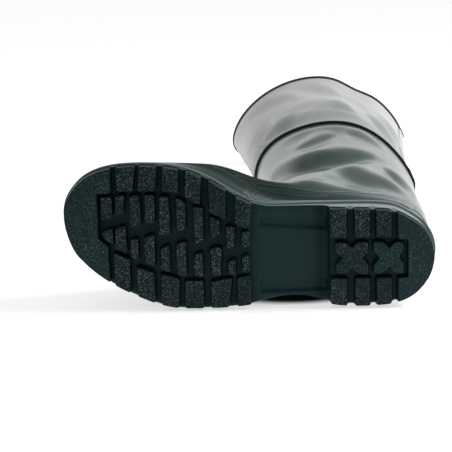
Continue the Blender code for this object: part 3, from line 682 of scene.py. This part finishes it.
def upper_ring(level, phi):
    """One ring (a, m, h) of the upper's outer face, by the same rule as the CAD: a = back +
    (front - back) * share with share = (1 - cos phi) / 2; m = centre line + full * (sole *
    outline half + (1 - sole) * oval half), plus the bulge over the arch."""
    def col(name):
        return float(column(UPPER_RINGS, UPPER_COLUMNS, name, level))
    share = (1 - np.cos(phi)) / 2
    a = SOLE_L * (col("back_a") + (col("front_a") - col("back_a")) * share)
    ends = [float(curve([(k, height_of(row[n])) for k, row in enumerate(UPPER_RINGS)],
                        1, level)) for n in (1, 3)]
    foot = UPPER_RINGS[0]
    foot_a = SOLE_L * (foot[0] + (foot[2] - foot[0]) * share)
    line = INSTEP_H * (foot[1] + (foot[3] - foot[1]) * share)
    h = ends[0] + (ends[1] - ends[0]) * share + col("dip") * (rim_top(foot_a) + GAP - line)
    mid = BALL_W * (col("back_m") + (col("front_m") - col("back_m")) * share ** 2.2)
    inner, outer = halves(share)
    wave = np.abs(np.sin(phi))
    peak = col("peak_back") + (col("peak_front") - col("peak_back")) * smooth(share, 0, 1)
    oval_in = BALL_W * col("med") * wave ** peak
    oval_out = BALL_W * col("lat") * wave ** col("square")
    mix = col("sole")
    half = np.where(phi < np.pi, mix * inner * wave + (1 - mix) * oval_in,
                    -(mix * outer * wave + (1 - mix) * oval_out))
    bulge = np.where(phi < np.pi, BALL_W * col("waist") * np.exp(
        -((a / SOLE_L - WAIST_AT) / WAIST_L) ** 2), 0)
    return np.column_stack((a, mid + col("full") * half + bulge * wave ** .5, h))


def grid_normals(grid):
    """Outward unit normals of a grid of rings."""
    around = np.roll(grid, -1, 1) - np.roll(grid, 1, 1)
    n = np.cross(np.gradient(grid, axis=0), around)
    n /= np.linalg.norm(n, axis=2, keepdims=True)
    if np.sum(n * (grid - grid.mean(axis=1, keepdims=True))) < 0:
        n = -n
    return n


def spaced(points, steps=24):
    """A smooth line through given points, at even steps of their chord."""
    p = np.array(points, float)
    chord = np.concatenate(([0], np.cumsum(np.linalg.norm(np.diff(p, axis=0), axis=1))))
    s = np.linspace(0, chord[-1], steps)
    return np.column_stack([curve(np.column_stack((chord, p)), k + 1, s)
                            for k in range(p.shape[1])])


def from_line(p, points):
    """Distance of each p from a line, signed by its side, and the place along it 0 to 1."""
    line = spaced(points)
    best = np.full(len(p), 1e9)
    along, sign = np.zeros(len(p)), np.ones(len(p))
    for k in range(len(line) - 1):
        d = line[k + 1] - line[k]
        raw = (p - line[k]) @ d / (d @ d)
        t = np.clip(raw, 0, 1)
        gap = p - line[k] - t[:, None] * d
        far = np.linalg.norm(gap, axis=1)
        near = far < best
        best = np.where(near, far, best)
        along = np.where(near, (k + t) / (len(line) - 1), along)
        sign = np.where(near, np.sign(d[0] * gap[:, 1] - d[1] * gap[:, 0]), sign)
    return best * np.where(sign == 0, 1, sign), along


def folded(grid, folds, low, high):
    """How far each point moves out: the sum over folds of rise * u * exp((1 - u * u) / 2),
    u = distance / width, above a line positive; both sizes taper to a fold's ends, and all
    fades towards the heights low and high, and off the inner side. The second result is
    how much a point lies in a crease (1) or on a crest (-1)."""
    p = grid[..., [0, 2]].reshape(-1, 2) * (1, SQUASH)
    total, depth = np.zeros(len(p)), np.zeros(len(p))
    for rise, width, points in folds:
        far, along = from_line(p, np.array(points) * (1, SQUASH))
        taper = np.sin(np.pi * along) ** .8
        u = -far / (width * (.45 + .55 * taper))
        total += rise * taper * u * np.exp((1 - u * u) / 2)
        # depth: painted shade in the creases, painted light on the crests
        depth += rise / 4 * taper * np.exp(-1.5 * u * u)
    n = grid_normals(grid)
    facing = smooth(n[..., 1], -.25, .35)
    fade = smooth(grid[..., 2], low[0], low[1]) * (1 - smooth(grid[..., 2], *high))
    return [part.reshape(grid.shape[:2]) * facing * fade for part in (total, depth)]


def shell(grid, wall, step, floor=None):
    """Points, faces and UVs in metres of a closed wall: the grid outside, every step-th of
    its rings moved inwards by the wall inside."""
    inner_all = grid - wall * grid_normals(grid)
    inner_all[-1, :, 2] = grid[-1, :, 2]
    if floor is not None:
        inner_all[0, :, 2] = floor(inner_all[0, :, 0])
    keep = np.unique(np.concatenate((np.arange(0, len(grid), step), [len(grid) - 1])))
    inner = inner_all[keep][::-1]
    points = np.concatenate((grid.reshape(-1, 3), inner.reshape(-1, 3)))
    rings = len(grid) + len(inner)
    uv_all = []
    for block in (grid, inner):
        step_u = np.linalg.norm(np.roll(block, -1, 1) - block, axis=2)
        u = np.concatenate((np.zeros((len(block), 1)), np.cumsum(step_u, 1)[:, :-1]), 1)
        rise = np.linalg.norm(np.diff(block, axis=0), axis=2)
        v = np.concatenate((np.zeros((1, block.shape[1])), np.cumsum(rise, 0)))
        uv_all.append(np.stack((u, v), -1).reshape(-1, 2) * MM)
    return points, bands(rings, grid.shape[1], closed=True), np.concatenate(uv_all)


def seat(a):
    """Height of what stands on the sole, one clearance over it."""
    return rim_top(np.clip(a, 0, SOLE_L)) + GAP


phi = np.arange(AROUND) * 2 * np.pi / AROUND
levels = np.concatenate((np.arange(0, 4, .08), np.arange(4, 10, .085), np.arange(10, 14.999, .05),
                         [15]))
grid = np.array([upper_ring(k, phi) for k in levels])
normals = grid_normals(grid)
# The counter's edge slopes from the back down to the rim
fallen = np.clip((COUNTER_H - grid[..., 2]) / (COUNTER_H - HEEL_H), 0, 1)
reach = fallen ** .5 * COUNTER_RUN + COUNTER_TOP
edge_gap = np.where(grid[..., 2] < COUNTER_H, reach - grid[..., 0], -5)
grid[1:] += (COUNTER_STEP * smooth(edge_gap, -.7, .7)[..., None] * normals)[1:]
shift, crease = folded(grid, SHAFT_FOLDS, (95, 120), (355, 376))
grid += shift[..., None] * normals
rib_near = np.full(grid.shape[:2], NO_RIB)
for line in RIBS:
    far, along = from_line(grid[..., [0, 2]].reshape(-1, 2), line)
    far = np.where((along > .002) & (along < .998), far, NO_RIB).reshape(rib_near.shape)
    rib_near = np.where(np.abs(far) < np.abs(rib_near), far, rib_near)
rib_near = np.where(normals[..., 1] > .15, rib_near, NO_RIB)
grid[0, :, 2] = seat(grid[0, :, 0])
top_ring = upper_ring(15, phi)
points, faces, uv = shell(grid, WALL, 5, seat)
extra = len(points) - grid.shape[0] * AROUND
# The side is tucked in over the rim, most over the arch; a stippled patch lies there too
over_rim = grid[..., 2] - rim_top(np.clip(grid[..., 0], 0, SOLE_L))
arch_share = np.exp(-((grid[..., 0] - 128) / 55) ** 2)
tuck = smooth(over_rim, 16, 58 + 18 * arch_share)
patch = (smooth(grid[..., 0], 125, 130) * (1 - smooth(grid[..., 0], 149, 154))
         * smooth(over_rim, 3, 6) * (1 - smooth(over_rim, 36, 42)) * (normals[..., 1] > .2))
fields = {name: np.append(outside, np.full(extra, inside)) for name, outside, inside in (
    ("rib", rib_near, NO_RIB), ("tuck", tuck, 0), ("patch", patch, 0),
    ("counter", edge_gap, -20), ("crease", crease, 0))}

pvc, tree, shader, where = new_material("soft_pvc")
haze = noise(tree, where, .045, 5.0, .6)
peel = noise(tree, where, .0011, 2.0)
# Height across the ankle in metres: Y0 + h - .8 * (a - 50), under Y0 on the foot
place = add(tree, "SeparateXYZ", {"Vector": where})
slope = calc(tree, "MULTIPLY_ADD", place.node.outputs["X"], .8, (50 - X0) * .8 * MM)
ankle = calc(tree, "ADD", place.node.outputs["Y"], slope)
shaft = ramp(tree, ankle, (Y0 + 20) * MM, (Y0 + 110) * MM, soft=True)
# Painted shade in the folds' creases, painted light on their crests
fold_shade_at = field(tree, "crease")
dust_sheen_and_fold_shade = calc(tree, "MULTIPLY_ADD", fold_shade_at, -.25, haze)
# Paler up the shaft: dust and a painted sheen of its grazing reflection
dust_sheen_and_fold_shade = calc(tree, "MULTIPLY", dust_sheen_and_fold_shade, shaft, clamp=True)
tint = blend(tree, dust_sheen_and_fold_shade, PVC, PVC_DUST_AND_SHEEN)
dull = ramp(tree, shaft, 0, 1, .34, .25)
gloss = calc(tree, "MULTIPLY_ADD", haze, .10, dull)
rib = field(tree, "rib")
flat = calc(tree, "ABSOLUTE", rib)
ridge = ramp(tree, flat, 0.0, 1.3, 1.0, 0.0, soft=True)
counter = field(tree, "counter")
off = calc(tree, "ABSOLUTE", counter)
crack = ramp(tree, off, .2, 1.5, soft=True)
dark = blend(tree, crack, "#070a0a", tint)
swell = ramp(tree, ankle, (Y0 - 150) * MM, (Y0 + 95) * MM, soft=True)
bump_s = bumped(tree, swell, SWELL * MM)
tuck = field(tree, "tuck")
bump_t = bumped(tree, tuck, TUCK * MM, under=bump_s)
patch = field(tree, "patch")
dots = add(tree, "TexVoronoi", {"Vector": where, "Scale": 1 / .0022})
dotted = calc(tree, "MULTIPLY", patch, dots)
bump_p = bumped(tree, dotted, .0007, under=bump_t)
bump_a = bumped(tree, ridge, .0005, under=bump_p)
bump_b = bumped(tree, crack, .0015, under=bump_a)
bump_c = bumped(tree, peel, .00015, strength=.22, under=bump_b)
feed(shader, {"Base Color": dark, "Roughness": gloss, "Normal": bump_c, "Coat Normal": bump_c,
              "IOR": 1.5, "Coat Weight": .4, "Coat Roughness": .15})
piece("upper_looks", points, faces, pvc, "upper", "upper", values=fields, uv=uv)

# Shaft piping
# A thick black rubber band welded over the shaft's top edge.
SHAFT_PIPE = 5.4
SHAFT_OUT = 2.6
PIPING = "#0a0d0d"
PIPING_WORN = "#4a5151"


def moved(ring, out):
    """A flat ring moved along its own normal in its plane."""
    ahead = np.roll(ring[:, :2], -1, 0) - np.roll(ring[:, :2], 1, 0)
    ahead /= np.linalg.norm(ahead, axis=1, keepdims=True)
    side = np.stack((ahead[:, 1], -ahead[:, 0]), -1)
    if np.sum(side * (ring[:, :2] - ring[:, :2].mean(0))) < 0:
        side = -side
    return np.column_stack((ring[:, :2] + np.asarray(out)[..., None] * side, ring[:, 2]))


def band_around(ring, inner, outer, low, tall, turns=16):
    """Points and faces of a rounded band between two offsets of a ring: a flattened circle
    of offset and height, swept around."""
    mid, half = (inner + outer) / 2, (outer - inner) / 2
    laps = []
    for angle in np.arange(turns) * 2 * np.pi / turns:
        c, s = np.cos(angle), np.sin(angle)
        out = mid + half * np.sign(c) * abs(c) ** .6
        row = moved(ring, out)
        row[:, 2] = low + tall * (.5 + .5 * np.sign(s) * abs(s) ** .75)
        laps.append(row)
    return np.concatenate(laps), bands(turns, len(ring), closed=True)


black, tree, shader, where = new_material("black_piping_rubber")
smear = noise(tree, where, .012, 4.0)
tint = blend(tree, smear, PIPING, "#171b1b")
# The collar's band, which hands pull on, is rubbed grey
place = add(tree, "SeparateXYZ", {"Vector": where})
rubbed = ramp(tree, place.node.outputs["Y"], (Y0 + 500) * MM, (Y0 + 700) * MM, 0.0, .7)
tint = blend(tree, rubbed, tint, PIPING_WORN)
gloss = ramp(tree, smear, 0, 1, .42, .62)
bump = bumped(tree, smear, .0002, strength=.3)
feed(shader, {"Base Color": tint, "Roughness": gloss, "Normal": bump, "Specular IOR Level": .3})
points, faces = band_around(top_ring, -WALL, SHAFT_OUT, SHAFT_H + GAP, SHAFT_PIPE)
piece("shaft_piping_looks", points, faces, black, "piping", "shaft_piping")

# Thigh leg
# A slack tube of pale coated cloth, its lower end welded inside the shaft's top.
LEG_H = 737.4
CLOTH = 1.2
LEG_COLUMNS = ("at", "back_a", "front_a", "mid", "med", "lat", "square", "peak_back",
               "peak_front", "dent")
LEG_RINGS = (
    (.00, -.052, .485, -.040, .530, .290, .60, 1.55, .88, 0),
    (.05, -.054, .491, -.038, .542, .302, .60, 1.55, .88, 0),
    (.25, -.058, .507, -.036, .535, .312, .62, 1.50, .95, .01),
    (.50, -.074, .533, -.044, .552, .304, .62, 1.48, 1.06, .03),
    (.75, -.096, .567, -.054, .603, .294, .64, 1.46, 1.18, .06),
    (1.0, -.118, .602, -.062, .650, .2724, .66, 1.45, 1.27, .085))
DENT_AT, DENT_W = .27, .10
CLOTH_PALE = "#dadddb"
CLOTH_DEEP = "#868b89"
NUB_DARK = "#2a2e2d"
LEG_FOLDS = (
    (4.6, 3.5, ((80, 490), (71, 500), (59, 516), (46, 522), (34, 518))),
    (3.0, 8, ((126, 462), (104, 452), (80, 448), (52, 452), (26, 462))),
    (2.0, 7, ((96, 668), (76, 664), (64, 657), (44, 636))),
    (-5.0, 6, ((149, 488), (146, 504), (141, 524), (134, 548), (126, 566))),
    (4.5, 4, ((154, 520), (151, 492), (147, 460), (142, 430), (135, 404))),
    (4.0, 5, ((140, 452), (125, 461), (106, 473), (90, 505))),
    (2.4, 7, ((166, 690), (149, 681), (118, 649), (96, 620))),
    (-3.0, 12, ((112, 566), (84, 590), (50, 592), (20, 570))),
    (3.0, 5, ((6, 612), (2, 604), (-9, 589), (-17, 540))),
    (3.0, 6, ((22, 560), (8, 530), (0, 490), (-2, 450))))


def leg_ring(at, phi):
    """One ring of the leg's outer face at a share of its height over the shaft, by the same
    rule as the CAD."""
    def col(name):
        return float(curve(LEG_RINGS, LEG_COLUMNS.index(name), at))
    share = (1 - np.cos(phi)) / 2
    a = SOLE_L * (col("back_a") + (col("front_a") - col("back_a")) * share)
    wave = np.abs(np.sin(phi))
    peak = col("peak_back") + (col("peak_front") - col("peak_back")) * smooth(share, 0, 1)
    dent = 1 - col("dent") * np.exp(-((share - DENT_AT) / DENT_W) ** 2)
    half = np.where(phi < np.pi, col("med") * wave ** peak * dent,
                    -col("lat") * wave ** col("square"))
    h = np.full_like(a, SHAFT_H + at * (LEG_H - SHAFT_H))
    return np.column_stack((a, BALL_W * (col("mid") + half), h))


CLEAR = SHAFT_H + SHAFT_PIPE + 3 * GAP
leg_rows = [moved(upper_ring(level, phi), -(WALL + 2 * GAP))
            for level in (14.6, 14.7, 14.8, 14.9)]
row = moved(top_ring, -(WALL + 2 * GAP))
row[:, 2] = CLEAR
leg_rows.append(row)
leg_rows += [leg_ring(at, phi) for at in np.concatenate(([.04], np.linspace(.05, 1, 135)))]
leg_grid = np.array(leg_rows)
leg_top = leg_grid[-1].copy()
shift, crease = folded(leg_grid, LEG_FOLDS, (388, 420), (712, 736))
leg_grid += shift[..., None] * grid_normals(leg_grid)

cloth, tree, shader, where = new_material("coated_cloth")
uv_map = add(tree, "UVMap", uv_map="UVMap")
weave = []
for axis in ("X", "Y"):
    weave.append(add(tree, "TexWave", {"Vector": uv_map, "Scale": np.pi / 10 / .0009,
                                       "Distortion": .6, "Detail": 1.0}, bands_direction=axis))
cross = calc(tree, "MULTIPLY", weave[0], weave[1])
haze = noise(tree, where, .06, 5.0)
fold_shade_at = field(tree, "crease")
# Paler towards the collar, greyer near the shaft
place = add(tree, "SeparateXYZ", {"Vector": where})
paler_up = ramp(tree, place.node.outputs["Y"], (Y0 + 420) * MM, (Y0 + 660) * MM, .16, .66)
pale = calc(tree, "MULTIPLY_ADD", haze, .6, paler_up)
# Painted shade in the folds' creases, painted light on their crests
pale = calc(tree, "MULTIPLY_ADD", fold_shade_at, -.35, pale, clamp=True)
tint = blend(tree, pale, CLOTH_DEEP, CLOTH_PALE)
nub = field(tree, "nub")
tint = blend(tree, nub, tint, NUB_DARK)
bump_a = bumped(tree, haze, .0008, strength=.35)
bump_b = bumped(tree, cross, .00012, strength=.25, under=bump_a)
feed(shader, {"Base Color": tint, "Normal": bump_b, "Roughness": .62,
              "Specular IOR Level": .45})
points, faces, uv = shell(leg_grid, CLOTH, 4)
crease = np.concatenate((crease.ravel(), np.zeros(len(points) - crease.size)))
piece("thigh_leg_looks", points, faces, cloth, "coated_cloth", "thigh_leg",
      values={"crease": crease}, uv=uv)

# Collar piping
# A thin black band that binds the leg's top edge.
COLLAR_PIPE = 3.6
COLLAR_OUT = 1.7
collar_out = COLLAR_OUT + .9 * smooth(leg_top[:, 1], -15, 20)
points, faces = band_around(leg_top, -CLOTH - .6, collar_out, LEG_H + GAP, COLLAR_PIPE, 12)
piece("collar_piping_looks", points, faces, black, "piping", "collar_piping")

# Seam strip
# A strip of the same cloth welded over the back seam, with two thicker ends at the pipings.
STRIP_W, STRIP_T, NUB_T = 12.0, 0.9, 2.6
STRIP_GAP = GAP + .25   # between the strip and the leg
strip_at = np.concatenate(([.052, .0535, .058, .062, .0645, .067, .072],
                           np.linspace(.08, .945, 60), [.951, .955, .9575, .960, .966, .980,
                                                        .9835, .985]))
thick = np.where((strip_at < .0640) | (strip_at > .9560), NUB_T, STRIP_T)
thick[[0, -1]] -= .9
under_rows, over_rows = [], []
for at, depth in zip(strip_at, thick):
    med, peak = (float(curve(LEG_RINGS, LEG_COLUMNS.index(n), at)) for n in ("med", "peak_back"))
    turn = np.arcsin((np.linspace(0, STRIP_W, 13) / (med * BALL_W)) ** (1 / peak))
    line = leg_ring(at, turn)
    edge_fall = 1 - .75 * np.abs(np.linspace(-1, 1, 13)) ** 12
    under_rows.append(line - np.array([STRIP_GAP, 0, 0]))
    over_rows.append(line - np.column_stack((STRIP_GAP + depth * edge_fall, 0 * edge_fall,
                                             0 * edge_fall)))
under_grid, over_grid = np.array(under_rows), np.array(over_rows)
rows_n, across = under_grid.shape[:2]
loops = np.concatenate((under_grid, over_grid[:, ::-1]), axis=1)
count = 2 * across
faces = bands(rows_n, count)
faces += [list(range(count - 1, -1, -1)), list(range((rows_n - 1) * count, rows_n * count))]
# UVs in metres, around the strip and along the leg
strip_uv = np.tile(np.linspace(0, .024, count), rows_n)
strip_uv = np.column_stack((strip_uv, np.repeat(strip_at * .358, count)))
nubs = np.repeat(1.0 * (thick > 1.2), count)
piece("seam_strip_looks", loops.reshape(-1, 3), faces, cloth, "coated_cloth",
      "seam_strip", values={"nub": nubs}, uv=strip_uv)

# Floor
# The studio's white sweep, which the boot lies on; it ends just in front of the picture.
PAPER = "#f4f4f3"
PAPER_SHADE = "#3a3c3c"
PAPER_LIGHT = .60       # strength of the paper's own light, which keeps it white
SHADE_AT = ((X0 - 112) * MM, (Y0 + 50) * MM, 0)     # the shade under the arch, an oval
SHADE_R = (.060, .035)
half, front, back = 6.0, -.78, 12.0
floor_mesh = bpy.data.meshes.new("sweep")
floor_mesh.from_pydata([(-half, front, -.0002), (half, front, -.0002), (half, back, -.0002),
                        (-half, back, -.0002)], [], [(0, 1, 2, 3)])
floor = bpy.data.objects.new("sweep", floor_mesh)
scene.collection.objects.link(floor)
paper, tree, shader, where = new_material("white_sweep_paper")
grain = noise(tree, where, .004, 2.0)
bump = bumped(tree, grain, .0003, strength=.05)
feed(shader, {"Normal": bump, "Roughness": .95, "Specular IOR Level": .1})
# How far from the shade's middle, in shares of its radii
offset = add(tree, "VectorMath", {0: where, 1: SHADE_AT}, operation="SUBTRACT")
share = add(tree, "VectorMath", {0: offset, 1: (1 / SHADE_R[0], 1 / SHADE_R[1], 0)},
            operation="MULTIPLY")
far = add(tree, "VectorMath", {0: share}, out="Value", operation="LENGTH")
lit = ramp(tree, far, .6, 1.1, 0.0, PAPER_LIGHT, soft=True)
open_floor = ramp(tree, far, .6, 1.1, soft=True)
tint = blend(tree, open_floor, PAPER_SHADE, PAPER)
feed(shader, {"Base Color": tint, "Emission Strength": lit, "Emission Color": (1, 1, 1, 1)})
floor_mesh.materials.append(paper)

# Light
# A white studio: bright low down behind the boot, dimmer above and dark towards the camera,
# with one soft box high on the right.
WORLD_BACK, WORLD_ABOVE, WORLD_FRONT = 1.0, .35, .10
BOX_SIZE, BOX_POWER = .7, 20.0
world = bpy.data.worlds.new("studio")
scene.world = world
world.use_nodes = True
tree = world.node_tree
sky = tree.nodes["Background"]
where = add(tree, "TexCoord", out="Generated")
split = add(tree, "SeparateXYZ", {"Vector": where})
around = ramp(tree, split.node.outputs["Y"], -.45, .35, WORLD_FRONT, WORLD_BACK, soft=True)
high = ramp(tree, split.node.outputs["Z"], .24, .62, soft=True)
amount = add(tree, "Mix", {"Factor": high, "A": around, "B": WORLD_ABOVE}, data_type="FLOAT")
feed(sky, {"Strength": amount, "Color": (1, 1, 1, 1)})
lamp_data = bpy.data.lights.new("soft_box", "AREA")
lamp_data.shape = "DISK"
lamp_data.size = BOX_SIZE
lamp_data.energy = BOX_POWER
lamp = bpy.data.objects.new("soft_box", lamp_data)
lamp.location = (1.4, -.25, 1.35)
lamp.rotation_euler = (Vector((0, 0, 0)) - Vector(lamp.location)).to_track_quat(
    "-Z", "Y").to_euler()
lamp.visible_glossy = False
scene.collection.objects.link(lamp)

# Camera
# The photo's own view: from the sole's side, a little above the floor.
CAMERA_AT = (X0 - 123.4, Y0 - 1176.4, 301.5)
TILT, TURN, ROLL = np.radians((11.2, 2.0, -1.4))
LENS = 121.1
ahead = np.array((-np.sin(TURN) * np.cos(TILT), np.cos(TURN) * np.cos(TILT), -np.sin(TILT)))
right = np.array((np.cos(TURN), np.sin(TURN), 0))
up = np.cross(right, ahead)
axis_x = right * np.cos(ROLL) + up * np.sin(ROLL)
axis_y = -right * np.sin(ROLL) + up * np.cos(ROLL)
camera_data = bpy.data.cameras.new("camera")
camera_data.lens = LENS
camera_data.sensor_width = 36.0
camera_data.clip_start, camera_data.clip_end = .05, 40
camera = bpy.data.objects.new("camera", camera_data)
turn = Matrix((axis_x, axis_y, -ahead)).transposed().to_4x4()
turn.translation = Vector(CAMERA_AT) * MM
camera.matrix_world = turn
scene.collection.objects.link(camera)
scene.camera = camera
scene.view_settings.view_transform = "Standard"
